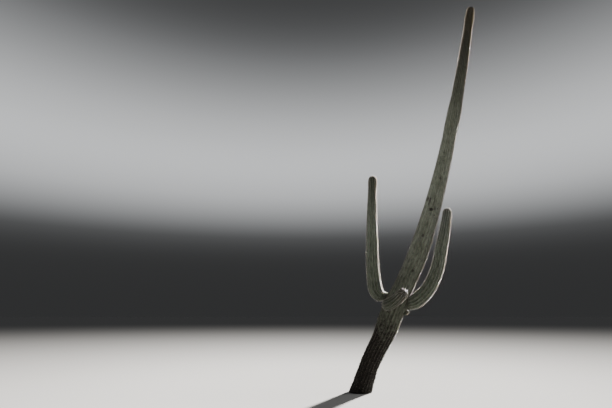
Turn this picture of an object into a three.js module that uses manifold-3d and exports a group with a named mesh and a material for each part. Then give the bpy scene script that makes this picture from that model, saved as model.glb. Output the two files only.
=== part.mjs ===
// Saguaro cactus, rooted in level ground: one tall leaning stem, two upright side arms that bend up from
// narrow necks, a short arm at the front and a young bud.
// Millimetres, +Z up. The origin is the middle of the flat cut at ground level. The stem leans towards +X,
// and the short arm grows out of its front, towards -Y.
import * as THREE from "three";
import { mergeVertices } from "three/addons/utils/BufferGeometryUtils.js";
import Module from "manifold-3d";

// Driving dimensions

const seatGap = 0.3; // clear distance between two pieces that touch
const stemCutGrowth = 0.6; // the stem is this much larger when it cuts an arm, so that it stays clear of it
const pointsPerRib = 4; // crest, flank, groove, flank
const domeRings = 5; // rings over the rounded end of a limb
const domeBluntness = 2.5; // 2 makes that end round, and more makes it blunter
const footBlend = 500; // the rings turn from level at the ground to square with the stem over this distance
const axisDivisions = 600; // steps in which an axis is measured

// Each limb has its axis as points [x, y, z], its crest radius and its groove depth as [distance along the
// axis, value], the number of its ribs, the spacing of its rings and the height of its rounded end.

const trunk = {
  ribs: 20,
  ringStep: 290,
  domeHeight: 95,
  axis: [
    [0, 0, 0],
    [262, 0, 620],
    [540, 0, 1110],
    [775, 0, 1640],
    [1070, 0, 2190],
    [1385, 0, 2830],
    [1925, 0, 4280],
    [2442, 0, 6000],
    [2875, 0, 7700],
    [3236, 0, 9300],
  ],
  radius: [
    [0, 238],
    [180, 212],
    [500, 196],
    [1050, 200],
    [1500, 230],
    [1850, 226],
    [2350, 206],
    [3150, 208],
    [3700, 196],
    [4700, 175],
    [5700, 157],
    [6100, 152],
    [6500, 161],
    [6850, 157],
    [7150, 140],
    [7700, 130],
    [8400, 118],
    [8900, 109],
    [9200, 98],
    [9500, 104],
    [9750, 92],
    [9880, 84],
  ],
  groove: [
    [0, 9],
    [500, 16],
    [1200, 27],
    [3000, 29],
    [7000, 23],
    [9400, 17],
  ],
};

const leftArm = {
  ribs: 14,
  ringStep: 215,
  bendStep: 75,
  bendEnd: 640, // the elbow ends here, where the arm has turned upright
  domeHeight: 120,
  axis: [
    [930, 60, 1908],
    [740, 85, 1906],
    [620, 100, 1906],
    [519, 109, 1926],
    [446, 115, 1994],
    [415, 119, 2095],
    [402, 120, 2250],
    [386, 118, 2560],
    [398, 110, 3300],
    [437, 100, 4100],
    [472, 100, 4655],
  ],
  radius: [
    [0, 63],
    [285, 65],
    [325, 78],
    [370, 110],
    [420, 136],
    [520, 148],
    [640, 151],
    [950, 141],
    [1400, 130],
    [1950, 117],
    [2550, 103],
    [2860, 91],
    [3010, 94],
    [3170, 87],
  ],
  groove: [
    [0, 5],
    [290, 5],
    [500, 20],
    [1600, 22],
    [3100, 16],
  ],
};

const rightArm = {
  ribs: 14,
  ringStep: 215,
  bendStep: 85,
  bendEnd: 930, // the elbow ends here
  domeHeight: 130,
  axis: [
    [850, -50, 1700],
    [1085, -85, 1738],
    [1210, -100, 1782],
    [1375, -108, 1905],
    [1550, -110, 2095],
    [1735, -105, 2450],
    [1866, -100, 2900],
    [1978, -100, 3300],
    [2055, -100, 3610],
    [2090, -100, 3818],
  ],
  radius: [
    [0, 84],
    [190, 92],
    [260, 124],
    [350, 146],
    [560, 148],
    [800, 139],
    [1200, 134],
    [1650, 129],
    [2050, 116],
    [2350, 101],
    [2580, 94],
  ],
  groove: [
    [0, 5],
    [200, 6],
    [380, 20],
    [1500, 22],
    [2600, 16],
  ],
};

const frontArm = {
  ribs: 13,
  ringStep: 80,
  domeHeight: 90,
  axis: [
    [800, -10, 1662],
    [682, -135, 1684],
    [598, -250, 1702],
    [588, -350, 1716],
    [650, -462, 1746],
    [733, -580, 1813],
    [781, -690, 1871],
    [806, -790, 1911],
    [812, -880, 1933],
  ],
  radius: [
    [0, 82],
    [170, 86],
    [290, 110],
    [480, 116],
    [680, 107],
    [860, 97],
    [1040, 92],
  ],
  groove: [
    [0, 5],
    [200, 6],
    [340, 16],
    [1040, 12],
  ],
};

const bud = {
  ribs: 10,
  ringStep: 30,
  domeHeight: 48,
  axis: [
    [930, -28, 1530],
    [1030, -30, 1566],
    [1072, -30, 1592],
  ],
  radius: [
    [0, 34],
    [75, 38],
    [130, 44],
    [165, 42],
  ],
  groove: [
    [0, 2],
    [170, 6],
  ],
};

// Shape of a limb

const clamp01 = (value) => Math.min(Math.max(value, 0), 1);
const smoothRise = (t) => t * t * (3 - 2 * t);

// Value at a distance, on a smooth line through stations [distance, value].
function valueAt(stations, distance) {
  const last = stations.length - 1;
  if (distance <= stations[0][0]) return stations[0][1];
  if (distance >= stations[last][0]) return stations[last][1];
  const i = stations.findIndex(([d]) => d > distance) - 1;
  const slope = (k) => {
    const [d0, v0] = stations[Math.max(k - 1, 0)];
    const [d1, v1] = stations[Math.min(k + 1, last)];
    return (v1 - v0) / (d1 - d0);
  };
  const [start, from] = stations[i];
  const [end, to] = stations[i + 1];
  const span = end - start;
  const t = (distance - start) / span;
  const lead = span * t * (1 - t);
  return from + (to - from) * smoothRise(t) + lead * ((1 - t) * slope(i) - t * slope(i + 1));
}

// Share of the full radius that is left at a distance from the rounded tip.
function domeShare(limb, toTip) {
  const x = 1 - clamp01(toTip / limb.domeHeight);
  return (1 - x ** domeBluntness) ** (1 / domeBluntness);
}

// Distances of a limb's rings along its axis. A bent limb has close rings in its bend, and two rings a seat
// gap apart where the elbow hands over to the upright column.
function ringDistances(limb, length) {
  const evenly = (from, to, step) => {
    const count = Math.max(1, Math.round((to - from) / step));
    return Array.from({ length: count }, (_, i) => from + ((to - from) * i) / count);
  };
  const domeStart = length - limb.domeHeight;
  const dome = Array.from({ length: domeRings }, (_, i) => {
    const angle = (i / domeRings) * (Math.PI / 2);
    return domeStart + limb.domeHeight * Math.sin(angle);
  });
  if (!limb.bendEnd) return [...evenly(0, domeStart, limb.ringStep), ...dome];
  const columnStart = limb.bendEnd + seatGap;
  return [
    ...evenly(0, limb.bendEnd, limb.bendStep),
    limb.bendEnd,
    ...evenly(columnStart, domeStart, limb.ringStep),
    ...dome,
  ];
}

// Rings of a limb with their middle, two directions across the axis, crest radius and groove depth. The
// directions are carried along without twist, so that each rib runs true from end to end.
function ringsOf(limb, growth = 0) {
  const curve = new THREE.CatmullRomCurve3(limb.axis.map((p) => new THREE.Vector3(...p)));
  curve.arcLengthDivisions = axisDivisions;
  const length = curve.getLength();
  const across = new THREE.Vector3(0, 1, 0);
  let heading = null;
  return ringDistances(limb, length).map((distance) => {
    const centre = curve.getPointAt(distance / length);
    const tangent = curve.getTangentAt(distance / length);
    if (heading) across.applyQuaternion(new THREE.Quaternion().setFromUnitVectors(heading, tangent));
    else across.addScaledVector(tangent, -across.dot(tangent)).normalize();
    heading = tangent;
    const share = domeShare(limb, length - distance);
    return {
      distance,
      centre,
      tangent,
      across: across.clone(),
      radius: valueAt(limb.radius, distance) * share + growth,
      groove: valueAt(limb.groove, distance) * share,
      tip: curve.getPointAt(1),
    };
  });
}

// Turns the stem's lowest rings level, so that the first one is the flat cut at the ground.
function levelFoot(rings) {
  const up = new THREE.Vector3(0, 0, 1);
  for (const ring of rings) {
    const turned = smoothRise(clamp01(ring.distance / footBlend));
    ring.tangent = up.clone().lerp(ring.tangent, turned).normalize();
    ring.across.addScaledVector(ring.tangent, -ring.across.dot(ring.tangent)).normalize();
  }
  return rings;
}

// Points of one ring: rounded crests with a sharp groove between each two.
function ringPoints(ring, ribs) {
  const side = new THREE.Vector3().crossVectors(ring.tangent, ring.across);
  return Array.from({ length: ribs * pointsPerRib }, (_, k) => {
    const angle = (k / (ribs * pointsPerRib)) * 2 * Math.PI;
    const crest = Math.abs(Math.cos((Math.PI * k) / pointsPerRib));
    const radius = ring.radius - ring.groove * (1 - crest);
    return ring.centre
      .clone()
      .addScaledVector(ring.across, radius * Math.cos(angle))
      .addScaledVector(side, radius * Math.sin(angle));
  });
}

// Closed surface over a run of rings, with flat ends, or with a point where the run ends at the tip.
function skinOver(rings, ribs, toTip) {
  const loops = rings.map((ring) => ringPoints(ring, ribs));
  const around = ribs * pointsPerRib;
  const ends = [rings[0].centre, toTip ? rings[0].tip : rings.at(-1).centre];
  const points = [...loops.flat(), ...ends];
  const startPole = loops.length * around;
  const endPole = startPole + 1;
  const faces = [];
  for (let k = 0; k < around; k++) {
    const next = (k + 1) % around;
    faces.push(startPole, next, k);
    for (let row = 0; row < loops.length - 1; row++) {
      const a = row * around;
      const b = a + around;
      faces.push(a + k, a + next, b + next, a + k, b + next, b + k);
    }
    const top = (loops.length - 1) * around;
    faces.push(endPole, top + k, top + next);
  }
  const geometry = new THREE.BufferGeometry().setFromPoints(points);
  geometry.setIndex(faces);
  return geometry;
}

// Joins and cuts

const wasm = await Module();
wasm.setup();

function solidFrom(geometry) {
  const merged = mergeVertices(geometry);
  return new wasm.Manifold(
    new wasm.Mesh({
      numProp: 3,
      vertProperties: new Float32Array(merged.attributes.position.array),
      triVerts: new Uint32Array(merged.index.array),
    }),
  );
}

function geometryFrom(solid) {
  const mesh = solid.getMesh();
  const geometry = new THREE.BufferGeometry();
  geometry.setAttribute("position", new THREE.BufferAttribute(mesh.vertProperties, 3));
  geometry.setIndex(new THREE.BufferAttribute(mesh.triVerts, 1));
  return geometry;
}

// What is left of an arm outside the stem: its neck follows the stem's ribs, just clear of them.
function cutByStem(geometry, stem) {
  const pieces = solidFrom(geometry).subtract(stem).decompose();
  pieces.sort((a, b) => b.volume() - a.volume());
  return geometryFrom(pieces[0]);
}

// The plant

const skinMaterial = (name, color, roughness) =>
  new THREE.MeshStandardMaterial({ name, color, roughness, metalness: 0 });
const stemMaterial = skinMaterial("stem skin", 0x5f6b4a, 0.75);
const armMaterial = skinMaterial("arm skin", 0x6a7852, 0.7);

const plant = new THREE.Group();

function addPiece(name, geometry, material) {
  const shown = geometry.toNonIndexed();
  shown.computeVertexNormals();
  const mesh = new THREE.Mesh(shown, material);
  mesh.name = name;
  plant.add(mesh);
}

// A bent arm: an elbow that is cut by the stem, and an upright column that stands on the elbow's flat end.
function addBentArm(name, arm, stem) {
  const rings = ringsOf(arm);
  const elbow = rings.filter((ring) => ring.distance <= arm.bendEnd);
  const column = rings.filter((ring) => ring.distance > arm.bendEnd);
  addPiece(`${name}_elbow`, cutByStem(skinOver(elbow, arm.ribs, false), stem), armMaterial);
  addPiece(`${name}_column`, skinOver(column, arm.ribs, true), armMaterial);
}

const trunkRings = levelFoot(ringsOf(trunk));
addPiece("trunk", skinOver(trunkRings, trunk.ribs, true), stemMaterial);

const grownRings = levelFoot(ringsOf(trunk, stemCutGrowth));
const grownStem = solidFrom(skinOver(grownRings, trunk.ribs, true));
addBentArm("left_arm", leftArm, grownStem);
addBentArm("right_arm", rightArm, grownStem);
addPiece("front_arm", cutByStem(skinOver(ringsOf(frontArm), frontArm.ribs, true), grownStem), armMaterial);
addPiece("bud", cutByStem(skinOver(ringsOf(bud), bud.ribs, true), grownStem), armMaterial);

export default plant;
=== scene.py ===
import math

import bmesh
import bpy
import numpy as np
from mathutils import Matrix, Vector


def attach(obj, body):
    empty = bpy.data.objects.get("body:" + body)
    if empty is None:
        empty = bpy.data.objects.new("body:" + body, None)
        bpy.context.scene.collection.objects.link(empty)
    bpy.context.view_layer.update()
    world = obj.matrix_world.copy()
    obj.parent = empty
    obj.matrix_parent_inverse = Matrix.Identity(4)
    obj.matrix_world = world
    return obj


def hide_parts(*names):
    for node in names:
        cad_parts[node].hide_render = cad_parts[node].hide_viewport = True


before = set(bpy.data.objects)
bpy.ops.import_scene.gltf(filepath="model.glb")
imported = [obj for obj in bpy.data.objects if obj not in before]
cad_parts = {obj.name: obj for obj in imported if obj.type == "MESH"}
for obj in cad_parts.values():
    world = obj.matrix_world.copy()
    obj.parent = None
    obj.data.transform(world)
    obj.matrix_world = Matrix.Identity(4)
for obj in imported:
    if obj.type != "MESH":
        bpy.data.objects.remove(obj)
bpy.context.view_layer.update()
tau = 2 * math.pi

# A saguaro cactus, rooted in level ground: one tall leaning stem, an upright arm on each side, a short arm
# at the front and a young bud. Metres, +Z up. The stem leans towards +X, and -Y is the front.


# Camera, floor and light

cameraView = {
    "lens": 24,
    "sensor": 36,
    "place": (-1.097, -9.0, 1.5),
    "tilt": 15.277,  # degrees above level
}

softboxes = {
    "front light": {
        "place": (-2.6, -7.6, 5.2),
        "target": (1.8, 0, 5.0),
        "width": 3.5,
        "grid": 46,  # degrees across the cone that it lights
        "power": 54,
        "colour": (0.97, 0.99, 1),
    },
    "high light from the right": {
        "place": (7.5, 0.5, 7.0),
        "target": (1.1, 0, 3.0),
        "width": 2.5,
        "grid": 70,
        "power": 60,
        "colour": (1, 0.98, 0.96),
    },
    "light from behind on the left": {
        "place": (-0.6, 11, 10.5),
        "target": (2.9, 0, 8.5),
        "width": 1.2,
        "grid": 30,
        "power": 340,
        "colour": (1, 1, 1),
    },
}

backLight = {
    "bearing": 37.5,  # degrees round from +Y towards +X
    "height": 20,  # degrees above level
    "strength": 50,
    "softness": 4,  # degrees across
    "colour": (1, 0.97, 0.93),
}

backdrop = {
    # how light the camera sees it at each height, where 1 is straight up
    "lightness": [
        (0, 0.035), (0.1, 0.036), (0.18, 0.05), (0.23, 0.3), (0.28, 0.6), (0.34, 0.76), (0.4, 0.7),
        (0.48, 0.42), (0.56, 0.18), (0.63, 0.07), (0.7, 0.05),
    ],
    "tint": (0.98, 1, 1.02),
    "ambient": (0.155, 0.158, 0.162),  # the even light that it gives the plant
}

floor = {
    "colour": (0.31, 0.307, 0.3),
    "farShadeColour": (0.0065, 0.0068, 0.0072),
    "bounceColour": (0.19, 0.189, 0.184),  # for the light that it throws on the plant
    "nearnessHalved": 9,  # nearness is 1 at the plant and half at this distance
    "fade": (0.72, 0.1),  # painted fall-off of light: the floor darkens as its nearness falls from the first value to the second
    "size": 400,
}


def linked(thing):
    bpy.context.scene.collection.objects.link(thing)
    return thing


def addNode(tree, kind, values=None, **settings):
    # A node with its settings. Each input is set, or linked where its value is another node's output.
    node = tree.nodes.new("ShaderNode" + kind)
    for name, setting in settings.items():
        setattr(node, name, setting)
    for socket, value in (values or {}).items():
        if isinstance(value, bpy.types.NodeSocket):
            tree.links.new(value, node.inputs[socket])
        else:
            node.inputs[socket].default_value = value
    return node


def mixColours(tree, factor, first, second):
    return addNode(tree, "Mix", {0: factor, 6: first, 7: second}, data_type="RGBA").outputs[2]


def plainMaterial(name, colour, roughness, gloss):
    material = bpy.data.materials.new(name)
    material.use_nodes = True
    shader = material.node_tree.nodes["Principled BSDF"]
    shader.inputs["Base Color"].default_value = (*colour, 1)
    shader.inputs["Roughness"].default_value = roughness
    shader.inputs["Specular IOR Level"].default_value = gloss
    return material


def addCamera():
    data = bpy.data.cameras.new("camera")
    data.lens = cameraView["lens"]
    data.sensor_width = cameraView["sensor"]
    camera = linked(bpy.data.objects.new("camera", data))
    camera.location = cameraView["place"]
    camera.rotation_euler = (math.radians(90 + cameraView["tilt"]), 0, 0)
    bpy.context.scene.camera = camera


def addSoftbox(name, place, target, width, grid, power, colour):
    data = bpy.data.lights.new(name, "AREA")
    data.shape = "DISK"
    data.size = width
    data.spread = math.radians(grid)
    data.energy = power
    data.color = colour
    light = linked(bpy.data.objects.new(name, data))
    light.location = place
    light.rotation_euler = (Vector(target) - Vector(place)).to_track_quat("-Z", "Y").to_euler()
    light.visible_camera = False


def addBackLight(bearing, height, strength, softness, colour):
    data = bpy.data.lights.new("low light from behind", "SUN")
    data.energy = strength
    data.angle = math.radians(softness)
    data.color = colour
    light = linked(bpy.data.objects.new("low light from behind", data))
    light.rotation_euler = (math.radians(90 - height), 0, math.radians(180 - bearing))


def addBackdrop():
    # The camera sees it lightest behind the arms, but it lights the plant evenly.
    world = bpy.data.worlds.new("studio")
    world.use_nodes = True
    tree = world.node_tree
    heading = addNode(tree, "SeparateXYZ", {0: addNode(tree, "TexCoord").outputs["Generated"]})
    seen = addNode(tree, "ValToRGB", {0: heading.outputs[2]})
    seen.color_ramp.interpolation = "B_SPLINE"
    for height, lightness in backdrop["lightness"]:
        seen.color_ramp.elements.new(height).color = (*(lightness * share for share in backdrop["tint"]), 1)
    seen.color_ramp.elements.remove(seen.color_ramp.elements[0])  # it starts with a black and a white stop
    seen.color_ramp.elements.remove(seen.color_ramp.elements[-1])
    toCamera = addNode(tree, "LightPath").outputs["Is Camera Ray"]
    colour = mixColours(tree, toCamera, (*backdrop["ambient"], 1), seen.outputs[0])
    tree.links.new(colour, tree.nodes["Background"].inputs["Color"])
    bpy.context.scene.world = world


def addFloor():
    bm = bmesh.new()
    bmesh.ops.create_grid(bm, x_segments=2, y_segments=2, size=floor["size"])
    mesh = bpy.data.meshes.new("floor")
    bm.to_mesh(mesh)
    bm.free()
    material = plainMaterial("pale floor", floor["colour"], 1.0, 0)
    tree = material.node_tree
    place = addNode(tree, "TexCoord").outputs["Object"]
    away = addNode(tree, "VectorMath", {0: place}, operation="LENGTH").outputs["Value"]
    half = floor["nearnessHalved"]
    beyond = addNode(tree, "Math", {0: away, 1: half}, operation="ADD").outputs[0]
    nearness = addNode(tree, "Math", {0: half, 1: beyond}, operation="DIVIDE").outputs[0]
    near, far = floor["fade"]
    values = {"Value": nearness, "From Min": near, "From Max": far}
    fade = addNode(tree, "MapRange", values, interpolation_type="SMOOTHSTEP")
    # Painted light: the camera sees the floor pale near the plant and painted dark far from it, as if lit
    # only nearby.
    seen = mixColours(tree, fade.outputs[0], (*floor["colour"], 1), (*floor["farShadeColour"], 1))
    toCamera = addNode(tree, "LightPath").outputs["Is Camera Ray"]
    colour = mixColours(tree, toCamera, (*floor["bounceColour"], 1), seen)
    tree.links.new(colour, tree.nodes["Principled BSDF"].inputs["Base Color"])
    mesh.materials.append(material)
    linked(bpy.data.objects.new("floor", mesh))


addCamera()
for name, settings in softboxes.items():
    addSoftbox(name, **settings)
addBackLight(**backLight)
addBackdrop()
addFloor()
print("camera, floor and light are in place")


# Limbs
# Each has its axis as points, its crest radius and its groove depth as (distance along the axis, value),
# and the height of its rounded end, all as the frame has them, and the gap between the rings of its skin.

stem = {
    "name": "stem",
    "nodes": ["trunk"],
    "slot": "stem_skin",
    "seed": 3,
    "freshAndShade": 0,  # how much the whole skin is like new growth, from 0 to 1; this also paints it darker, as painted shade
    "brownerAndShaded": 1,  # the share of its new spines that is brown, but for those at the very tip; these dark spines also paint the tips darker, as painted shade
    "ribs": 20,
    "ringStep": 0.0182,
    "domeHeight": 0.095,
    "footBlend": 0.5,  # the rings turn from level to square with the stem over this distance
    "axis": [
        (0, 0, 0), (0.262, 0, 0.62), (0.54, 0, 1.11), (0.775, 0, 1.64), (1.07, 0, 2.19),
        (1.385, 0, 2.83), (1.925, 0, 4.28), (2.442, 0, 6.0), (2.875, 0, 7.7), (3.236, 0, 9.3),
    ],
    "crestRadius": [
        (0, 0.238), (0.18, 0.212), (0.5, 0.196), (1.05, 0.2), (1.5, 0.23), (1.85, 0.226), (2.35, 0.206),
        (3.15, 0.208), (3.7, 0.196), (4.7, 0.175), (5.7, 0.157), (6.1, 0.152), (6.5, 0.161), (6.85, 0.157),
        (7.15, 0.14), (7.7, 0.13), (8.4, 0.118), (8.9, 0.109), (9.2, 0.098), (9.5, 0.104), (9.75, 0.092),
        (9.88, 0.084),
    ],
    "grooveDepth": [(0, 0.009), (0.5, 0.016), (1.2, 0.027), (3.0, 0.029), (7.0, 0.023), (9.4, 0.017)],
}

leftArm = {
    "name": "left_arm",
    "nodes": ["left_arm_elbow", "left_arm_column"],
    "slot": "arm_skin",
    "seed": 5,
    "freshAndShade": 0,
    "brownerAndShaded": 1,
    "young": 1,  # the share of its spines that glows with light from behind
    "rootCork": 0.8,  # how corky its root is, from 0 to 1
    "ribs": 14,
    "ringStep": 0.014,
    "domeHeight": 0.12,
    "axis": [
        (0.93, 0.06, 1.908), (0.74, 0.085, 1.906), (0.62, 0.1, 1.906), (0.519, 0.109, 1.926),
        (0.446, 0.115, 1.994), (0.415, 0.119, 2.095), (0.402, 0.12, 2.25), (0.386, 0.118, 2.56),
        (0.398, 0.11, 3.3), (0.437, 0.1, 4.1), (0.472, 0.1, 4.655),
    ],
    "crestRadius": [
        (0, 0.063), (0.285, 0.065), (0.325, 0.078), (0.37, 0.11), (0.42, 0.136), (0.52, 0.148),
        (0.64, 0.151), (0.95, 0.141), (1.4, 0.13), (1.95, 0.117), (2.55, 0.103), (2.86, 0.091), (3.01, 0.094),
        (3.17, 0.087),
    ],
    "grooveDepth": [(0, 0.005), (0.29, 0.005), (0.5, 0.02), (1.6, 0.022), (3.1, 0.016)],
}

rightArm = {
    "name": "right_arm",
    "nodes": ["right_arm_elbow", "right_arm_column"],
    "slot": "arm_skin",
    "seed": 7,
    "freshAndShade": 0,
    "brownerAndShaded": 0.2,
    "young": 1,
    "rootCork": 0.5,
    "ribs": 14,
    "ringStep": 0.014,
    "domeHeight": 0.13,
    "axis": [
        (0.85, -0.05, 1.7), (1.085, -0.085, 1.738), (1.21, -0.1, 1.782), (1.375, -0.108, 1.905),
        (1.55, -0.11, 2.095), (1.735, -0.105, 2.45), (1.866, -0.1, 2.9), (1.978, -0.1, 3.3),
        (2.055, -0.1, 3.61), (2.09, -0.1, 3.818),
    ],
    "crestRadius": [
        (0, 0.084), (0.19, 0.092), (0.26, 0.124), (0.35, 0.146), (0.56, 0.148), (0.8, 0.139), (1.2, 0.134),
        (1.65, 0.129), (2.05, 0.116), (2.35, 0.101), (2.58, 0.094),
    ],
    "grooveDepth": [(0, 0.005), (0.2, 0.006), (0.38, 0.02), (1.5, 0.022), (2.6, 0.016)],
}

frontArm = {
    "name": "front_arm",
    "nodes": ["front_arm"],
    "slot": "arm_skin",
    "seed": 9,
    # Its new-growth share also paints the whole front arm darker, as painted shade.
    "freshAndShade": 0.6,
    "brownerAndShaded": 0.7,
    "young": 0.7,
    "rootCork": 0.6,
    "ribs": 13,
    "ringStep": 0.011,
    "domeHeight": 0.09,
    "axis": [
        (0.8, -0.01, 1.662), (0.682, -0.135, 1.684), (0.598, -0.25, 1.702), (0.588, -0.35, 1.716),
        (0.65, -0.462, 1.746), (0.733, -0.58, 1.813), (0.781, -0.69, 1.871), (0.806, -0.79, 1.911),
        (0.812, -0.88, 1.933),
    ],
    "crestRadius": [
        (0, 0.082), (0.17, 0.086), (0.29, 0.11), (0.48, 0.116), (0.68, 0.107), (0.86, 0.097), (1.04, 0.092),
    ],
    "grooveDepth": [(0, 0.005), (0.2, 0.006), (0.34, 0.016), (0.85, 0.014), (1.04, 0.009)],
}

bud = {
    "name": "bud",
    "nodes": ["bud"],
    "slot": "arm_skin",
    "seed": 11,
    "freshAndShade": 0.8,
    "brownerAndShaded": 1,
    "young": 0,
    "rootCork": 0,
    "ribs": 10,
    "ringStep": 0.006,
    "domeHeight": 0.048,
    "axis": [(0.93, -0.028, 1.53), (1.03, -0.03, 1.566), (1.072, -0.03, 1.592)],
    "crestRadius": [(0, 0.034), (0.075, 0.038), (0.13, 0.044), (0.165, 0.042)],
    "grooveDepth": [(0, 0.002), (0.17, 0.006)],
}

arms = [leftArm, rightArm, frontArm, bud]

relief = {
    "domeBluntness": 2.5,  # 2 makes the end of a limb round, and more makes it blunter
    "swell": 0.016,  # slow change of thickness, as a share of the radius
    "waist": 0.007,  # the constrictions that each year's growth leaves
    "depth": 0.2,  # change in how deep the grooves are, as a share of it
    "drift": 0.16,  # how far a rib wanders, as a share of its width
    "bark": 0.006,  # lumps in the corky foot, in metres
    "barkFade": (0.25, 1.3),  # they fade out between these distances along the stem
    "mound": 0.02,  # the stem rises by this round the neck of an arm
    "moundFade": (0.9, 1.8),  # from the middle of the neck, in radii of it
    "flare": 0.018,  # and the neck widens by this to meet it
    "flareReach": 0.045,
}

# The random patterns over the skin. Each has a step from the limb's own seed, the length of its cells in
# metres, and how many of them go round the limb or lie across each rib.
patterns = {
    "swell": {"seedStep": 0, "cell": 0.42, "round": 3},
    "waist": {"seedStep": 50, "cell": 0.1, "round": 2},
    "depth": {"seedStep": 100, "cell": 0.22, "perRib": 1},
    "bark": {"seedStep": 150, "cell": 0.06, "perRib": 3},
    "drift": {"seedStep": 200, "cell": 0.9, "round": 5},
    "cork": {"seedStep": 300, "cell": 0.3, "round": 6},
    "brown": {"seedStep": 500, "cell": 0.1, "round": 10},
}

# The marks on the stem, with a value for each of markKeys. The last two are from 0 to 1: how far the ribs are
# levelled round the mark, and how far its corky edge shows.
markKeys = ("along", "rib", "halfWidth", "halfHeight", "depth", "lip", "levelled", "corky")
marks = {
    "nest hole": (4.165, 9.0, 0.031, 0.025, 0.08, 0.007, 1, 0.9),
    "left peck": (4.41, 5.9, 0.022, 0.036, 0.014, 0.003, 0, 0.7),
    "upper peck": (4.4, 7.5, 0.019, 0.03, 0.013, 0.003, 0, 0.7),
    "middle peck": (4.29, 7.31, 0.014, 0.016, 0.012, 0.003, 0, 0.4),
    "right peck": (4.2, 10.31, 0.016, 0.016, 0.014, 0.004, 0, 0.6),
    "far peck": (4.23, 11.67, 0.013, 0.013, 0.012, 0.003, 0, 0.5),
    "low peck": (4.05, 10.94, 0.015, 0.016, 0.012, 0.003, 0, 0.5),
    "lower scar": (3.52, 8.9, 0.021, 0.023, 0.012, 0.004, 0, 0.7),
    "scar above the arms": (2.7, 9.99, 0.018, 0.024, 0.01, 0.004, 0, 0.6),
    "small scar": (2.71, 7.54, 0.014, 0.016, 0.01, 0.003, 0, 0.5),
    "waist scar": (4.95, 9.18, 0.018, 0.02, 0.01, 0.003, 0, 0.5),
    "right waist scar": (5.0, 12.05, 0.013, 0.022, 0.01, 0.003, 0, 0.5),
    "low crease": (5.4, 8.1, 0.055, 0.009, 0.006, 0.002, 0, 0),
    "middle crease": (5.51, 8.25, 0.06, 0.009, 0.007, 0.002, 0, 0),
    "high crease": (5.61, 8.8, 0.045, 0.008, 0.005, 0.002, 0, 0),
}

# How the marks lie in the skin, measured out from the middle of a mark, where 1 is its edge. A pair says
# where something is still whole and where it is gone.
aroundMarks = {
    "hollow": (0.72, 1.05),
    "scar": (0.85, 1.15),
    "cork": (1.4, 2.0),
    "levelled": (1.2, 2.2),
    "lip": 1.3,
    "lipWidth": 0.28,
    "bare": 1.2,  # no areole is nearer
    "bareLevelled": 0.5,  # and none within this much more where the ribs are levelled
    "halvedFaces": (2.6, 1.9),  # the skin's faces are halved within each of these
    "leastScar": 0.6,  # how dark a scar is with no corky edge, from 0 to 1
    "levelledDepth": 0.45,  # where levelled ribs lie, as a share of the groove's depth
}

freshAndShadeFrom = 0.55  # new growth, with painted shade that darkens the skin towards the tip, begins at this share of a limb's length
facesAcrossRib = 8
frameStep = 0.01  # metres between the frames along a limb's axis
latticeRows = 509  # a pattern repeats after this many cells
weldGap = 1e-5


def unit(vectors):
    return vectors / np.linalg.norm(vectors, axis=-1, keepdims=True)


def smoothRise(t):
    return t * t * (3 - 2 * t)


def ramp(value, low, high):  # 0 at low, 1 at high, smooth between
    return smoothRise(np.clip((value - low) / (high - low), 0, 1))


def fadeOut(value, low, high):  # 1 at low, 0 at high
    return 1 - ramp(value, low, high)


def valueAt(stations, distance):  # on a smooth line through stations (distance, value)
    places, values = np.array(stations, float).T
    before = np.maximum(np.arange(len(places)) - 1, 0)
    after = np.minimum(np.arange(len(places)) + 1, len(places) - 1)
    slope = (values[after] - values[before]) / (places[after] - places[before])
    distance = np.clip(distance, places[0], places[-1])
    i = np.clip(np.searchsorted(places, distance, side="right") - 1, 0, len(places) - 2)
    span = places[i + 1] - places[i]
    t = (distance - places[i]) / span
    bend = span * t * (1 - t) * ((1 - t) * slope[i] - t * slope[i + 1])
    return values[i] + (values[i + 1] - values[i]) * smoothRise(t) + bend


def axisLine(points, steps=60):
    # A smooth curve through the axis points, as close points and the distance of each along it.
    p = np.array(points, float)
    p = np.vstack([2 * p[0] - p[1], p, 2 * p[-1] - p[-2]])
    t = np.linspace(0, 1, steps, endpoint=False)[:, None]
    runs = []
    for i in range(1, len(p) - 2):
        p0, p1, p2, p3 = p[i - 1:i + 3]
        gap0, gap1, gap2 = (np.linalg.norm(b - a) ** 0.5 for a, b in ((p0, p1), (p1, p2), (p2, p3)))
        step = p2 - p1
        lead = ((p1 - p0) / gap0 - (p2 - p0) / (gap0 + gap1)) * gap1 + step
        trail = ((p3 - p2) / gap2 - (p3 - p1) / (gap1 + gap2)) * gap1 + step
        runs.append(p1 + lead * t + (3 * step - 2 * lead - trail) * t**2 + (lead + trail - 2 * step) * t**3)
    line = np.vstack([*runs, p[-2]])
    distance = np.append(0, np.cumsum(np.linalg.norm(np.diff(line, axis=0), axis=1)))
    return line, distance


def prepareLimb(limb):
    # Adds the limb's length and its frames: middle, direction and one direction across, at close steps.
    line, distance = axisLine(limb["axis"])
    limb["length"] = distance[-1]
    limb["steps"] = np.linspace(0, distance[-1], round(distance[-1] / frameStep) + 1)
    centre = np.column_stack([np.interp(limb["steps"], distance, line[:, k]) for k in range(3)])
    tangent = unit(np.gradient(centre, axis=0))
    across = np.zeros_like(centre)
    carried = np.array((0.0, 1.0, 0.0))
    for i, heading in enumerate(tangent):  # carried along without twist, so that the ribs run true
        carried = unit(carried - heading * (carried @ heading))
        across[i] = carried
    if "footBlend" in limb:
        turned = ramp(limb["steps"], 0, limb["footBlend"])[:, None]
        tangent = unit((1 - turned) * np.array((0, 0, 1.0)) + turned * tangent)
        across = unit(across - tangent * (across * tangent).sum(1, keepdims=True))
    limb["frames"] = np.hstack([centre, tangent, across])


def frameAt(limb, along):  # middle, direction and one direction across
    columns = [np.interp(along, limb["steps"], column) for column in limb["frames"].T]
    centre, tangent, across = np.split(np.column_stack(columns), 3, axis=1)
    return centre, unit(tangent), unit(across)


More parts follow.
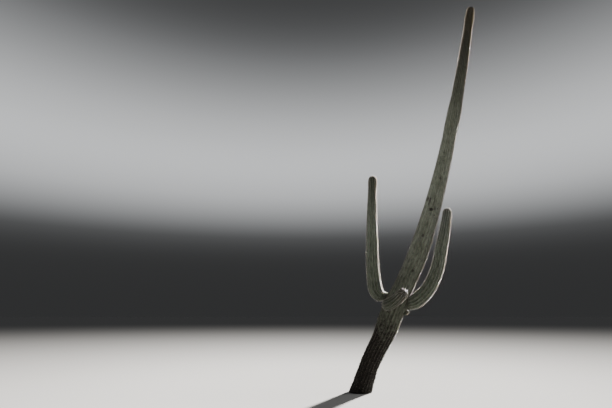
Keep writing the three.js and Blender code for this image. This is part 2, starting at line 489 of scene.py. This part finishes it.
def nearestOn(limb, points):
    # Distance of points from the limb's axis, and how far along it they are.
    centres = limb["frames"][:, :3]
    apart = np.linalg.norm(points[:, None] - centres[None], axis=2)
    nearest = apart.argmin(1)
    return apart[np.arange(len(points)), nearest], limb["steps"][nearest]


def clearOf(limb, points):  # how far points stand out of the limb's crests
    apart, along = nearestOn(limb, points)
    return apart - valueAt(limb["crestRadius"], along)


def patternOn(limb, name, along, rib):
    # A smooth random pattern over the limb's skin, from -1 to 1. It meets itself round the limb.
    pattern = patterns[name]
    columns = pattern["round"] if "round" in pattern else pattern["perRib"] * limb["ribs"]
    rng = np.random.default_rng(limb["seed"] + pattern["seedStep"])
    lattice = rng.uniform(-1, 1, (latticeRows, columns))
    turn = rib / limb["ribs"]
    u, v = along / pattern["cell"], (turn % 1) * columns
    i, j = np.floor(u).astype(int), np.floor(v).astype(int)
    rise, over = smoothRise(u - i), smoothRise(v - j)

    def corner(a, b):
        return lattice[(i + a) % latticeRows, (j + b) % columns]

    low = corner(0, 0) * (1 - rise) + corner(1, 0) * rise
    high = corner(0, 1) * (1 - rise) + corner(1, 1) * rise
    return low * (1 - over) + high * over


def alongAt(limb, share):
    # Distance along the axis at a share of the way up the skin, which is longer than the axis at the dome.
    domeStart = limb["length"] - limb["domeHeight"]
    climbed = np.asarray(share) * limb["skinLength"]
    angle = np.clip((climbed - domeStart) / limb["domeArc"], 0, 1) * math.pi / 2
    return np.where(climbed < domeStart, climbed, domeStart + limb["domeHeight"] * np.sin(angle))


def freshAndShadeShare(limb, along):  # 1 on the newest growth at the tip, where the darker colour is partly painted shade
    return np.maximum(limb["freshAndShade"], ramp(along, limb["length"] * freshAndShadeFrom, limb["length"]))


def markDistance(limb, mark, along, rib):  # 1 at the mark's edge
    ribWidth = tau * float(valueAt(limb["crestRadius"], mark["along"])) / limb["ribs"]
    sideways = (rib - mark["rib"]) * ribWidth / mark["halfWidth"]
    return np.hypot(sideways, (along - mark["along"]) / mark["halfHeight"])


def skinRadius(limb, along, rib):
    # Distance of the skin from the axis. rib is the count of ribs round from the first, with its fraction.
    toTip = np.clip(np.round((limb["length"] - along) / limb["domeHeight"], 5), 0, 1)
    bluntness = relief["domeBluntness"]
    domeShare = (1 - (1 - toTip) ** bluntness) ** (1 / bluntness)
    crest = np.abs(np.cos(math.pi * rib))
    swell = relief["swell"] * patternOn(limb, "swell", along, rib)
    waist = relief["waist"] * patternOn(limb, "waist", along, rib)
    change = relief["depth"] * patternOn(limb, "depth", along, rib)
    depth = valueAt(limb["grooveDepth"], along) * (1 + change)
    flat = np.zeros_like(along)
    pushed = np.zeros_like(along)
    for mark in limb.get("marks", []):
        r = markDistance(limb, mark, along, rib)
        flat = np.maximum(flat, mark["levelled"] * fadeOut(r, *aroundMarks["levelled"]))
        lip = mark["lip"] * np.exp(-((r - aroundMarks["lip"]) / aroundMarks["lipWidth"]) ** 2)
        pushed += lip - mark["depth"] * fadeOut(r, *aroundMarks["hollow"])
    ribbed = depth * ((1 - crest) * (1 - flat) + aroundMarks["levelledDepth"] * flat)
    reach = valueAt(limb["crestRadius"], along) * (1 + swell + waist) - ribbed
    if "footBlend" in limb:
        lumps = relief["bark"] * patternOn(limb, "bark", along, rib)
        reach += lumps * fadeOut(along, *relief["barkFade"])
    if "root" in limb:
        reach += relief["flare"] * np.exp(-(np.maximum(along - limb["root"], 0) / relief["flareReach"]) ** 2)
    return reach * domeShare + pushed


def skinPoint(limb, along, rib):
    # Where the skin is, with the ribs wandering and the stem rising round its arms.
    centre, tangent, across = frameAt(limb, along)
    side = np.cross(tangent, across)
    drift = relief["drift"] * patternOn(limb, "drift", along, rib)
    angle = (rib + drift) * tau / limb["ribs"]
    outward = across * np.cos(angle)[:, None] + side * np.sin(angle)[:, None]
    points = centre + outward * skinRadius(limb, along, rib)[:, None]
    for arm in limb.get("carries", []):
        near = np.linalg.norm(points - arm["rootPoint"], axis=1) / arm["neck"]
        points += outward * (relief["mound"] * fadeOut(near, *relief["moundFade"]))[:, None]
    return points


def findRoot(arm):
    # Where the arm's axis leaves the stem, and how wide the arm is there.
    outside = clearOf(stem, arm["frames"][:, :3]) > 0
    start = outside.argmax()
    arm["root"] = arm["steps"][start]
    arm["rootPoint"] = arm["frames"][start, :3]
    arm["neck"] = float(valueAt(arm["crestRadius"], arm["root"]))


for limb in [stem, *arms]:
    prepareLimb(limb)
    # about how far the skin runs over the rounded end, from its foot to its top
    limb["domeArc"] = 0.8 * (limb["domeHeight"] + limb["crestRadius"][-1][1])
    limb["skinLength"] = limb["length"] - limb["domeHeight"] + limb["domeArc"]
for arm in arms:
    findRoot(arm)
stem["carries"] = arms
stem["marks"] = [dict(zip(markKeys, values)) for values in marks.values()]
print("the limbs are laid out")


# Shared effects for the materials


def newEffect(name, inputs, outputs):
    # A node group, with the sockets inside it that give its inputs and take its outputs.
    group = bpy.data.node_groups.new(name, "ShaderNodeTree")
    for label, (kind, value) in inputs.items():
        socket = group.interface.new_socket(name=label, in_out="INPUT", socket_type="NodeSocket" + kind)
        if value is not None:
            socket.default_value = value
    for label, kind in outputs.items():
        group.interface.new_socket(name=label, in_out="OUTPUT", socket_type="NodeSocket" + kind)
    return group, group.nodes.new("NodeGroupInput").outputs, group.nodes.new("NodeGroupOutput").inputs


def buildMottle():
    # Lightens and darkens a colour in patches that are longer than they are wide.
    inputs = {
        "Vector": ("Vector", None),
        "Colour": ("Color", (0.5, 0.5, 0.5, 1)),
        "Light": ("Color", (0.7, 0.7, 0.7, 1)),
        "Scale": ("Float", 6.0),
        "Amount": ("Float", 0.5),
    }
    group, given, result = newEffect("mottle", inputs, {"Colour": "Color", "Mask": "Float"})
    tall = addNode(group, "Mapping", {"Vector": given["Vector"], "Scale": (1, 1, 0.45)})
    noise = addNode(group, "TexNoise", {"Vector": tall.outputs[0], "Scale": given["Scale"], "Detail": 5.0})
    patch = addNode(group, "MapRange", {"Value": noise.outputs[0], "From Min": 0.4, "From Max": 0.66})
    mask = addNode(group, "Math", {0: patch.outputs[0], 1: given["Amount"]}, operation="MULTIPLY").outputs[0]
    group.links.new(mixColours(group, mask, given["Colour"], given["Light"]), result["Colour"])
    group.links.new(mask, result["Mask"])
    return group


def buildCork():
    # Rough bark with fissures that run along the stem. It covers more of the skin as Amount grows.
    inputs = {"Vector": ("Vector", None), "Amount": ("Float", 0.0), "Scale": ("Float", 30.0)}
    outputs = {"Mask": "Float", "Fissures": "Float", "Patches": "Float", "Height": "Float"}
    group, given, result = newEffect("cork", inputs, outputs)

    values = {"Vector": given["Vector"], "Scale": 17.0, "Detail": 7.0, "Roughness": 0.65}
    edge = addNode(group, "TexNoise", values)
    values = {0: edge.outputs[0], 1: 1.6, 2: given["Amount"]}
    ragged = addNode(group, "Math", values, operation="MULTIPLY_ADD").outputs[0]
    mask = addNode(group, "MapRange", {"Value": ragged, "From Min": 1.2, "From Max": 1.5}).outputs[0]

    warp = addNode(group, "TexNoise", {"Vector": given["Vector"], "Scale": 12.0, "Detail": 4.0})
    values = {0: warp.outputs["Color"], 1: (0.09, 0.09, 0.09), 2: given["Vector"]}
    bent = addNode(group, "VectorMath", values, operation="MULTIPLY_ADD").outputs[0]
    tall = addNode(group, "Mapping", {"Vector": bent, "Scale": (1, 1, 0.3)}).outputs[0]
    values = {"Vector": tall, "Scale": given["Scale"]}
    plates = addNode(group, "TexVoronoi", values, feature="DISTANCE_TO_EDGE")
    values = {"Value": plates.outputs[0], "From Max": 0.3}
    wide = addNode(group, "MapRange", values, interpolation_type="SMOOTHSTEP")
    values = {"Vector": tall, "Scale": 70.0, "Detail": 8.0, "Roughness": 0.7}
    rough = addNode(group, "TexNoise", values)
    values = {0: rough.outputs[0], 1: wide.outputs[0]}
    broken = addNode(group, "Math", values, operation="MULTIPLY").outputs[0]
    fissures = addNode(group, "MapRange", {"Value": broken, "From Min": 0.12, "From Max": 0.42}).outputs[0]

    shades = addNode(group, "TexNoise", {"Vector": tall, "Scale": 9.0, "Detail": 5.0}).outputs[0]
    patches = addNode(group, "MapRange", {"Value": shades, "From Min": 0.35, "From Max": 0.65}).outputs[0]
    height = addNode(group, "Math", {0: broken, 1: mask}, operation="MULTIPLY").outputs[0]
    group.links.new(mask, result["Mask"])
    group.links.new(fissures, result["Fissures"])
    group.links.new(patches, result["Patches"])
    group.links.new(height, result["Height"])
    return group


def buildFineGrain():
    # Height of fine wrinkles and pores.
    inputs = {"Vector": ("Vector", None), "Scale": ("Float", 90.0), "Wrinkle": ("Float", 0.5)}
    group, given, result = newEffect("fine grain", inputs, {"Height": "Float"})
    pores = addNode(group, "TexNoise", {"Vector": given["Vector"], "Scale": given["Scale"], "Detail": 4.0})
    flat = addNode(group, "Mapping", {"Vector": given["Vector"], "Scale": (0.35, 0.35, 1.6)})
    lines = addNode(group, "TexNoise", {"Vector": flat.outputs[0], "Scale": given["Scale"], "Detail": 3.0})
    values = {0: lines.outputs[0], 1: given["Wrinkle"], 2: pores.outputs[0]}
    group.links.new(addNode(group, "Math", values, operation="MULTIPLY_ADD").outputs[0], result["Height"])
    return group


effects = {"mottle": buildMottle(), "cork": buildCork(), "fine grain": buildFineGrain()}


def addEffect(tree, name, values):
    return addNode(tree, "Group", values, node_tree=effects[name]).outputs


# Skin of the stem and arms

stemLook = {
    # Painted light: the grooves are painted lighter than the crests, which evens out the shade that falls in
    # them.
    "groove": (0.106, 0.12, 0.085, 1),
    "flank": (0.102, 0.114, 0.08, 1),
    "crest": (0.091, 0.098, 0.071, 1),
    "bloom": (0.134, 0.145, 0.112, 1),
    # Painted shade, partly: the dark green of new growth, made darker still so that the tips and the front
    # arm look shaded.
    "tip": (0.018, 0.022, 0.013, 1),
    "cork": (0.056, 0.048, 0.039, 1),
    "oldCork": (0.034, 0.031, 0.026, 1),
    "fissure": (0.013, 0.011, 0.009, 1),
    "scar": (0.024, 0.019, 0.015, 1),
    "fleck": 0.3,  # how light the dark flecks are, as a share of the flank
    "roughness": 0.6,
    "corkRoughness": 0.92,
}

armLook = {
    **stemLook,
    # Painted light: here too the grooves are painted lighter than the crests, against the shade in them.
    "groove": (0.08, 0.098, 0.064, 1),
    "flank": (0.074, 0.089, 0.058, 1),
    "crest": (0.065, 0.075, 0.05, 1),
    "bloom": (0.097, 0.111, 0.08, 1),
    # Painted shade, partly: new growth on the arms, made darker so that their tips look shaded.
    "tip": (0.015, 0.02, 0.011, 1),
    "roughness": 0.55,
}


def skinMaterial(name, look):
    material = bpy.data.materials.new(name)
    material.use_nodes = True
    tree = material.node_tree
    shader = tree.nodes["Principled BSDF"]
    place = addNode(tree, "TexCoord").outputs["Object"]

    def painted(attribute):
        return addNode(tree, "Attribute", attribute_name=attribute).outputs["Fac"]

    # Painted light: the lighter groove colour evens out the shade in the grooves.
    ribTone = addNode(tree, "ValToRGB", {"Fac": painted("crest")})
    ribTone.color_ramp.elements[0].color = look["groove"]
    ribTone.color_ramp.elements[0].position = 0.05
    ribTone.color_ramp.elements[1].color = look["crest"]
    ribTone.color_ramp.elements[1].position = 0.98
    ribTone.color_ramp.elements.new(0.6).color = look["flank"]

    values = {"Colour": ribTone.outputs[0], "Light": look["bloom"], "Scale": 7.0, "Amount": 0.6}
    large = addEffect(tree, "mottle", {"Vector": place, **values})
    fleck = (*(look["fleck"] * c for c in look["flank"][:3]), 1)
    values = {"Colour": large["Colour"], "Light": fleck, "Scale": 21.0, "Amount": 0.85}
    small = addEffect(tree, "mottle", {"Vector": place, **values})
    # Painted shade: the skin darkens towards each tip, and over the whole front arm, with its new growth.
    freshAndShade = mixColours(tree, painted("freshAndShade"), small["Colour"], look["tip"])

    cork = addEffect(tree, "cork", {"Vector": place, "Amount": painted("cork"), "Scale": 46.0})
    plates = mixColours(tree, cork["Patches"], look["cork"], look["oldCork"])
    bark = mixColours(tree, cork["Fissures"], look["fissure"], plates)
    corky = mixColours(tree, cork["Mask"], freshAndShade, bark)
    tree.links.new(mixColours(tree, painted("scar"), corky, look["scar"]), shader.inputs["Base Color"])

    values = {"Value": cork["Mask"], "To Min": look["roughness"], "To Max": look["corkRoughness"]}
    tree.links.new(addNode(tree, "MapRange", values).outputs[0], shader.inputs["Roughness"])
    shader.inputs["Specular IOR Level"].default_value = 0.25
    shader.inputs["Coat Weight"].default_value = 0.04
    shader.inputs["Coat Roughness"].default_value = 0.45

    grain = addEffect(tree, "fine grain", {"Vector": place, "Scale": 120.0, "Wrinkle": 0.6})
    fine = addNode(tree, "Bump", {"Height": grain["Height"], "Strength": 0.35, "Distance": 0.004})
    values = {"Height": cork["Height"], "Strength": 0.8, "Distance": 0.006, "Normal": fine.outputs[0]}
    tree.links.new(addNode(tree, "Bump", values).outputs[0], shader.inputs["Normal"])
    return material


skins = {"stem_skin": skinMaterial("stem skin", stemLook), "arm_skin": skinMaterial("arm skin", armLook)}


def finishPiece(piece, slot, *nodes):
    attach(piece, "root")
    if nodes:
        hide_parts(*nodes)
    return piece


def refineSheet(bm, limb):
    # Halves the faces round each mark twice, while the skin is still a flat sheet.
    for mark in limb.get("marks", []):
        for reach in aroundMarks["halvedFaces"]:
            along = np.array([v.co.y for v in bm.verts])
            rib = np.array([v.co.x for v in bm.verts])
            inside = markDistance(limb, mark, along, rib) < reach
            bm.verts.index_update()
            edges = [e for e in bm.edges if inside[e.verts[0].index] and inside[e.verts[1].index]]
            bmesh.ops.subdivide_edges(bm, edges=edges, cuts=1, use_grid_fill=True)


def growSkin(limb):
    # A flat sheet, one unit wide for each rib and as long as the limb, is rolled up round the axis.
    bm = bmesh.new()
    bm.loops.layers.uv.new("skin")  # the whole skin, unrolled
    spread = Matrix.Diagonal((limb["ribs"], 1, 1, 1)) @ Matrix.Translation((0.5, 0.5, 0))
    bmesh.ops.create_grid(
        bm,
        x_segments=limb["ribs"] * facesAcrossRib,
        y_segments=round(limb["skinLength"] / limb["ringStep"]),
        size=0.5,
        matrix=spread,
        calc_uvs=True,
    )
    for v, along in zip(bm.verts, alongAt(limb, [v.co.y for v in bm.verts])):
        v.co.y = along
    refineSheet(bm, limb)

    flat = np.array([v.co[:2] for v in bm.verts])
    rib, along = flat[:, 0], flat[:, 1]
    ribLayer, alongLayer = bm.verts.layers.float.new("rib"), bm.verts.layers.float.new("along")
    for v, point, a, b in zip(bm.verts, skinPoint(limb, along, rib), rib, along):
        v.co = point
        v[ribLayer], v[alongLayer] = a, b
    bmesh.ops.remove_doubles(bm, verts=bm.verts, dist=weldGap)
    if "footBlend" in limb:
        for v in bm.verts:
            if v.is_boundary:
                v.co.z = 0
    cap = bmesh.ops.holes_fill(bm, edges=[e for e in bm.edges if e.is_boundary])["faces"]
    bmesh.ops.poke(bm, faces=cap)
    bmesh.ops.recalc_face_normals(bm, faces=bm.faces)

    mesh = bpy.data.meshes.new(limb["name"] + "_skin")
    bm.to_mesh(mesh)
    bm.free()
    paintSkin(mesh, limb)
    mesh.materials.append(skins[limb["slot"]])
    mesh.polygons.foreach_set("use_smooth", np.ones(len(mesh.polygons), bool))
    return finishPiece(linked(bpy.data.objects.new(mesh.name, mesh)), limb["slot"], *limb["nodes"])


# How far cork reaches, in metres along the limb where nothing else is said
corkAndShadeReach = {
    # Its reach up the stem is real cork, and it also paints the lower stem darker as painted shade.
    "onStem": (0.1, 2.8),  # it thins out from the first to the second
    "raggedness": 0.3,  # its edge moves up and down by this
    "onArm": 0.14,  # from the root
    "roundArm": (1.0, 2.0),  # on the stem, from the middle of the arm's neck, in radii of it
}


def paintSkin(mesh, limb):
    # What the materials read at each point: crest, cork, scar and fresh growth, each from 0 to 1. The cork
    # and the fresh growth also carry painted shade, on the lower stem and on the tips.
    def read(name):
        values = np.zeros(len(mesh.vertices))
        mesh.attributes[name].data.foreach_get("value", values)
        return values

    rib, along = read("rib"), read("along")
    if "root" in limb:
        cork = limb["rootCork"] * fadeOut(along, limb["root"], limb["root"] + corkAndShadeReach["onArm"])
    else:
        ragged = along + corkAndShadeReach["raggedness"] * patternOn(limb, "cork", along, rib)
        cork = fadeOut(ragged, *corkAndShadeReach["onStem"])
        points = np.zeros(len(mesh.vertices) * 3)
        mesh.vertices.foreach_get("co", points)
        for arm in limb["carries"]:
            near = np.linalg.norm(points.reshape(-1, 3) - arm["rootPoint"], axis=1) / arm["neck"]
            cork = np.maximum(cork, arm["rootCork"] * fadeOut(near, *corkAndShadeReach["roundArm"]))
    scar, least = np.zeros_like(along), aroundMarks["leastScar"]
    for mark in limb.get("marks", []):
        r = markDistance(limb, mark, along, rib)
        cork = np.maximum(cork, mark["corky"] * fadeOut(r, *aroundMarks["cork"]))
        darkness = least + (1 - least) * mark["corky"]
        scar = np.maximum(scar, darkness * fadeOut(r, *aroundMarks["scar"]))
    painted = {
        "crest": np.abs(np.cos(math.pi * rib)),
        "cork": cork,
        "scar": scar,
        "freshAndShade": freshAndShadeShare(limb, along),
    }
    for name, values in painted.items():
        attribute = mesh.attributes.new(name, "FLOAT", "POINT")
        attribute.data.foreach_set("value", values.astype(np.float32))
    for name in ("rib", "along"):
        mesh.attributes.remove(mesh.attributes[name])


for limb in [stem, *arms]:
    piece = growSkin(limb)
    print("skin of the", limb["name"], "has", len(piece.data.polygons), "faces")


# Areoles, the woolly pads along each crest, and the spines that stand on them

areoles = {
    "spacing": 0.025,
    "tipSpacing": 0.016,
    "domeSpacing": 0.011,
    "padWidth": 0.0055,  # half, across the crest
    "padLength": 0.0085,  # half, along the crest
    "padHeight": 0.005,
    "closeUp": 0.6,  # they stand closer and closer over this distance to the tip
    "unevenness": (0.88, 1.12),  # of the spacing
    "fromGround": 0.06,
    "fromRoot": 0.02,
    "bareTip": 0.012,
    "clear": 0.012,  # the skin near another limb has none
    "keptOnFoot": 0.25,  # the corky foot has kept this share of them
    "footEnd": (0.3, 1.3),  # from the first to the second distance along it, that share grows to all
    "seedStep": 400,
}

spineKinds = {
    "radial": {"count": 12, "lean": (60, 88), "length": (0.013, 0.025), "thickness": 0.0018, "droop": 0.0},
    "central": {"count": 6, "lean": (6, 52), "length": (0.012, 0.024), "thickness": 0.0022, "droop": 0.2},
}

# How the spines sit in their pad
spineSeat = {
    "unevenness": 0.35,  # round the pad, as a share of the gap between two
    "height": 0.002,  # of their feet over the skin
    "outset": 0.001,  # of their feet, along the spine
}

# The stem's spines are old low down and young high up. For an arm, its own values say how many are young.
spineAges = {
    "old": (0.6, 4.4),  # they are less and less old between these distances along the stem
    "young": (0.76, 0.92),  # and more and more of them are young between these shares of its length
    "oldShorter": 0.2,
    "youngShorter": 0.25,
    "freshShorter": 0.12,  # on the new growth of an arm
}

# Which spines are straw-coloured or brown, as shares of them all. The others are grey.
tintShares = {
    "straw": 0.25,
    "strawLostFresh": 0.2,  # on new growth there are fewer, by this
    "strawLostOld": 0.1,
    "brown": 0.08,
    "brownOld": 0.7,  # more of the old ones are brown, by this, which also paints the foot darker, as painted shade
    "brownPatch": 0.7,  # and in patches more of the stem's are
    "patchEdge": (0.1, 0.5),
    "paleTip": 0.06,  # but this near to a tip fewer are
}

# The tints of the spines, how much light from behind glows through them, and their gloss
spineTints = {
    "old": {
        "grey": (0.15, 0.143, 0.13),
        "straw": (0.21, 0.183, 0.137),
        "brown": (0.07, 0.05, 0.038),
        "glow": 0.1,
        "gloss": 0.25,
    },
    "young": {
        "grey": (0.134, 0.13, 0.121),
        "straw": (0.17, 0.155, 0.124),
        # Painted shade, partly: the young brown spines are this dark so that the tips look shaded.
        "brown": (0.034, 0.029, 0.024),
        "glow": 1.0,
        "gloss": 0.5,
    },
}

spineFinish = {
    "roughness": 0.33,
    "glowDepth": 0.004,
    "glowTint": (1, 0.93, 0.84),
}

wool = {
    "colours": {"grey wool": (0.14, 0.13, 0.11), "fresh wool": (0.09, 0.072, 0.051)},
    "freshAndShadeFrom": 0.5,  # how fresh the growth is where the first pads have fresh wool
    "roughness": 0.95,
    "gloss": 0.1,
}

mostTriangles = 198000  # in a piece
cornerAlongX = Matrix.Rotation(-tau / 4, 4, "Z")  # a new cone has its first corner along y


def spineMaterial(age, tint):
    tints = spineTints[age]
    roughness = spineFinish["roughness"]
    material = plainMaterial(f"{age} {tint} spines", tints[tint], roughness, tints["gloss"])
    shader = material.node_tree.nodes["Principled BSDF"]
    shader.inputs["Subsurface Weight"].default_value = tints["glow"]
    shader.inputs["Subsurface Scale"].default_value = spineFinish["glowDepth"]
    shader.inputs["Subsurface Radius"].default_value = spineFinish["glowTint"]
    return material


spineMaterials = [spineMaterial(age, tint) for age in spineTints for tint in ("grey", "straw", "brown")]
woolMaterials = [
    plainMaterial(name, colour, wool["roughness"], wool["gloss"]) for name, colour in wool["colours"].items()
]


def placeAreoles(limb):
    # Along each crest, from the ground or the neck to the tip.
    rng = np.random.default_rng(limb["seed"] + areoles["seedStep"])
    start = limb["root"] + areoles["fromRoot"] if "root" in limb else areoles["fromGround"]
    tipDistances = (limb["domeArc"], 2 * limb["domeArc"], areoles["closeUp"])
    spacings = (areoles["domeSpacing"], areoles["tipSpacing"], areoles["spacing"])
    climbs, ribs = [], []
    for rib in range(limb["ribs"]):
        climb = start + rng.uniform(0, areoles["spacing"])
        while climb < limb["skinLength"] - areoles["bareTip"]:
            climbs.append(climb)
            ribs.append(rib)
            gap = np.interp(limb["skinLength"] - climb, tipDistances, spacings)
            climb += gap * rng.uniform(*areoles["unevenness"])
    along = alongAt(limb, np.array(climbs) / limb["skinLength"])
    rib = np.array(ribs, float)
    points = skinPoint(limb, along, rib)
    keep = np.ones(len(along), bool)
    for other in [stem, *arms]:
        if other is not limb and (limb is stem or other is stem):
            keep &= clearOf(other, points) > areoles["clear"]
    for mark in limb.get("marks", []):
        bare = aroundMarks["bare"] + aroundMarks["bareLevelled"] * mark["levelled"]
        keep &= markDistance(limb, mark, along, rib) > bare
    if limb is stem:
        kept = areoles["keptOnFoot"]
        keep &= rng.random(len(along)) < kept + (1 - kept) * ramp(along, *areoles["footEnd"])
    along, rib, points = along[keep], rib[keep], points[keep]

    step, ribStep = 0.002, 0.02  # the lie of the skin is measured over these
    low, high = np.maximum(along - step, 0), np.minimum(along + step, limb["length"])
    up = unit(skinPoint(limb, high, rib) - skinPoint(limb, low, rib))
    across = skinPoint(limb, along, rib + ribStep) - skinPoint(limb, along, rib - ribStep)
    out = unit(np.cross(up, across))
    centre = frameAt(limb, along)[0]
    out *= np.sign(((points - centre) * out).sum(1, keepdims=True))
    freshAndShade = freshAndShadeShare(limb, along)
    if limb is stem:
        old = fadeOut(along, *spineAges["old"])
        young = ramp(along, *(share * limb["length"] for share in spineAges["young"]))
        stretch = 1 - spineAges["oldShorter"] * old - spineAges["youngShorter"] * young
        patches = ramp(patternOn(limb, "brown", along, rib), *tintShares["patchEdge"])
    else:
        old = patches = np.zeros(len(along))
        young = np.full(len(along), limb["young"])
        stretch = 1 - spineAges["freshShorter"] * freshAndShade
    belowTip = ramp(limb["length"] - along, 0, tintShares["paleTip"])
    return {
        "points": points,
        "out": out,
        "up": up,
        "side": np.cross(up, out),
        "freshAndShade": freshAndShade,
        "old": old,
        "young": young,
        "stretch": stretch,
        "brownerAndShaded": limb["brownerAndShaded"] * freshAndShade * belowTip + tintShares["brownPatch"] * patches,
        "rng": rng,
    }


def joinCopies(name, points, corners, tints, materials, slot):
    # Copies of one little shape, joined as meshes of limited size. points has the points of each copy,
    # corners the three corners of each of the shape's triangles, and tints the material of each copy.
    perPiece = mostTriangles // len(corners)
    count = math.ceil(len(points) / perPiece)
    for number, chosen in enumerate(np.array_split(np.arange(len(points)), count), 1):
        shapes = points[chosen]
        triangles = (np.arange(len(chosen))[:, None, None] * shapes.shape[1] + corners[None]).reshape(-1, 3)
        pieceName = name if count == 1 else f"{name}_{number}"
        mesh = bpy.data.meshes.new(pieceName)
        mesh.vertices.add(shapes.shape[0] * shapes.shape[1])
        mesh.vertices.foreach_set("co", shapes.astype(np.float32).ravel())
        mesh.loops.add(triangles.size)
        mesh.loops.foreach_set("vertex_index", triangles.astype(np.int32).ravel())
        mesh.polygons.add(len(triangles))
        mesh.polygons.foreach_set("loop_start", np.arange(0, triangles.size, 3, dtype=np.int32))
        for material in materials:
            mesh.materials.append(material)
        mesh.polygons.foreach_set("material_index", np.repeat(tints[chosen], len(corners)).astype(np.int32))
        mesh.update(calc_edges=True)
        finishPiece(linked(bpy.data.objects.new(pieceName, mesh)), slot)
        print(pieceName, "has", len(triangles), "triangles")


def shapeOf(bm):
    # The points and the triangles of a small shape, which is modelled once and then copied.
    bmesh.ops.remove_doubles(bm, verts=bm.verts, dist=weldGap)
    bmesh.ops.triangulate(bm, faces=bm.faces)
    bmesh.ops.recalc_face_normals(bm, faces=bm.faces)
    bm.verts.index_update()
    points = np.array([v.co[:] for v in bm.verts])
    corners = np.array([[v.index for v in face.verts] for face in bm.faces])
    bm.free()
    return points, corners


def modelPad():
    # A low dome with six sides, of radius one and with its top one unit up. Its foot is sunk in the skin.
    bm = bmesh.new()
    place = Matrix.Translation((0, 0, 0.185)) @ cornerAlongX
    bmesh.ops.create_cone(bm, cap_ends=True, segments=6, radius1=1, radius2=0.72, depth=0.87, matrix=place)
    top = max(bm.faces, key=lambda face: face.calc_center_median().z)
    bmesh.ops.poke(bm, faces=[top])["verts"][0].co.z = 1
    return shapeOf(bm)


def modelSpine():
    # A cone with three sides, one unit long and closed at its foot.
    bm = bmesh.new()
    place = Matrix.Translation((0, 0, 0.5)) @ cornerAlongX
    bmesh.ops.create_cone(bm, cap_ends=True, segments=3, radius1=1, radius2=0, depth=1, matrix=place)
    return shapeOf(bm)


def copiesOf(points, places, axes):
    # A shape's points at each place. Its x, y and z follow the axes there, which also give its size.
    return places[..., None, :] + sum(points[:, k, None] * axis[..., None, :] for k, axis in enumerate(axes))


def growPads(name, found, slot):
    # A dome of wool on each areole. Those on new growth have fresh wool.
    points, corners = modelPad()
    axes = (
        found["side"] * areoles["padWidth"],
        found["up"] * areoles["padLength"],
        found["out"] * areoles["padHeight"],
    )
    tints = (found["freshAndShade"] > found["rng"].uniform(wool["freshAndShadeFrom"], 1, len(found["freshAndShade"]))).astype(int)
    joinCopies(name, copiesOf(points, found["points"], axes), corners, tints, woolMaterials, slot)


def growSpines(name, found, kind, slot):
    # The foot of each spine is sunk in the pad.
    rng, areoleCount, count = found["rng"], len(found["points"]), kind["count"]
    shape = (areoleCount, count)
    uneven = spineSeat["unevenness"]
    around = (np.arange(count)[None] + rng.uniform(-uneven, uneven, shape)) * tau / count
    lean = np.radians(rng.uniform(*kind["lean"], shape))
    length = rng.uniform(*kind["length"], shape) * found["stretch"][:, None]
    out, up, side = (found[key][:, None] for key in ("out", "up", "side"))
    direction = out * np.cos(lean)[..., None]
    sideways = side * np.cos(around)[..., None] + up * np.sin(around)[..., None]
    direction = unit(direction + sideways * np.sin(lean)[..., None] - up * kind["droop"])
    first = unit(np.cross(direction, up + 0.3 * side))
    second = np.cross(direction, first)
    foot = found["points"][:, None] + out * spineSeat["height"] + direction * spineSeat["outset"]
    half = kind["thickness"] / 2
    points, corners = modelSpine()
    axes = (first * half, second * half, direction * length[..., None])
    spines = copiesOf(points, foot, axes).reshape(-1, len(points), 3)

    chance = rng.random(areoleCount)  # a low one makes the areole's spines straw-coloured, a high one brown
    lostFresh = tintShares["strawLostFresh"] * found["freshAndShade"]
    lostOld = tintShares["strawLostOld"] * found["old"]
    straw = chance < tintShares["straw"] - lostFresh - lostOld
    brown = chance > 1 - tintShares["brown"] - tintShares["brownOld"] * found["old"] - found["brownerAndShaded"]
    young = rng.random(areoleCount) < found["young"]
    tints = np.repeat(np.where(brown, 2, np.where(straw, 1, 0)) + 3 * young, count)
    joinCopies(name, spines, corners, tints, spineMaterials, slot)


def together(parts):
    # The areoles of several limbs as one set.
    joined = {key: np.concatenate([part[key] for part in parts]) for key in parts[0] if key != "rng"}
    return {**joined, "rng": parts[0]["rng"]}


stemAreoles = placeAreoles(stem)
armAreoles = together([placeAreoles(arm) for arm in arms])
print("areoles:", len(stemAreoles["points"]), "on the stem and", len(armAreoles["points"]), "on the arms")
for label, found, slot in (("stem", stemAreoles, "stem_skin"), ("arm", armAreoles, "arm_skin")):
    growPads(label + "_wool_pads", found, slot)
    for kindName, kind in spineKinds.items():
        growSpines(f"{label}_{kindName}_spines", found, kind, slot)
